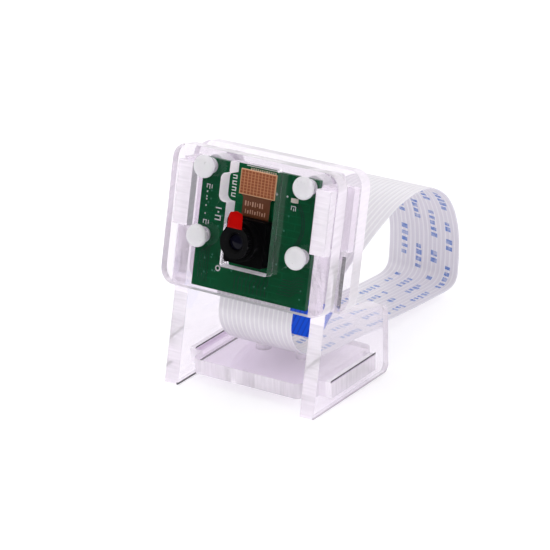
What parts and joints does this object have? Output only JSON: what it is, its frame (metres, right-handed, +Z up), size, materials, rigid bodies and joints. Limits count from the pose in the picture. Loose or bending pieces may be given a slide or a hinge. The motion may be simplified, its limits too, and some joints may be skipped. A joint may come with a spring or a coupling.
{
  "type": "camera board stand",
  "caption": "Clear acrylic desk stand holding a small camera board between two leaning plates, with a white flat flex ribbon looping out behind.",
  "frame": {"origin": "on the floor under the middle of the two legs' footprint", "axes": "+X to the camera's own left when seen from the front (the viewer's right), -Y the way the camera looks, +Z up"},
  "size_m": [0.036, 0.0663, 0.0451],
  "materials": {
    "acrylic": "clear polished sheet, laser-cut edges",
    "board_green": "green solder mask",
    "ring_plating": "tinned",
    "print_white": "printed",
    "nylon": "natural nylon, slightly translucent",
    "foam": "adhesive foam",
    "black_plastic": "moulded, fine texture",
    "sensor": "glossy",
    "lens_glass": "coated glass",
    "film_red": "thin film",
    "flex_brown": "polyimide film",
    "copper_grid": "gridded stiffener",
    "connector_tan": "moulded",
    "lamp": "clear top",
    "chip_body": "ceramic",
    "solder": "tinned",
    "package_black": "moulded",
    "package_metal": "lid",
    "connector_cream": "moulded",
    "contact_gold": "gold flash",
    "latch_dark": "moulded",
    "ribbon_white": "white film with flat conductors",
    "stiffener_blue": "blue film"
  },
  "bodies": {
    "stand": {"front_plate": "acrylic", "rear_plate": "acrylic", "left_leg": "acrylic", "right_leg": "acrylic", "base_plate": "acrylic", "circuit_board": "board_green", "plated_rings": "ring_plating", "board_strokes": "print_white", "case_screws": "nylon", "case_nuts": "nylon", "board_washers": "nylon", "board_spacers": "nylon", "foam_pad": "foam", "camera_holder": "black_plastic", "image_sensor": "sensor", "lens_barrel": "black_plastic", "lens_glass": "lens_glass", "lens_film_tab": "film_red", "sensor_flex": "flex_brown", "flex_stiffener": "copper_grid", "flex_connector": "connector_tan", "indicator_lamp": "lamp", "chip_bodies": "chip_body", "chip_ends": "solder", "regulators": "package_black", "oscillator": "package_metal", "ribbon_connector": "connector_cream", "connector_contacts": "contact_gold", "ribbon_cable": "ribbon_white", "ribbon_near_stiffener": "stiffener_blue", "ribbon_near_contacts": "contact_gold", "ribbon_far_stiffener": "stiffener_blue", "ribbon_far_contacts": "contact_gold"},
    "latch": {"connector_latch": "latch_dark"}
  },
  "joints": [
    {"name": "latch_slide", "type": "slide", "parent": "stand", "child": "latch", "axis": [0, -0.2334, -0.9724], "range_m": [0, 0.0012]}
  ]
}
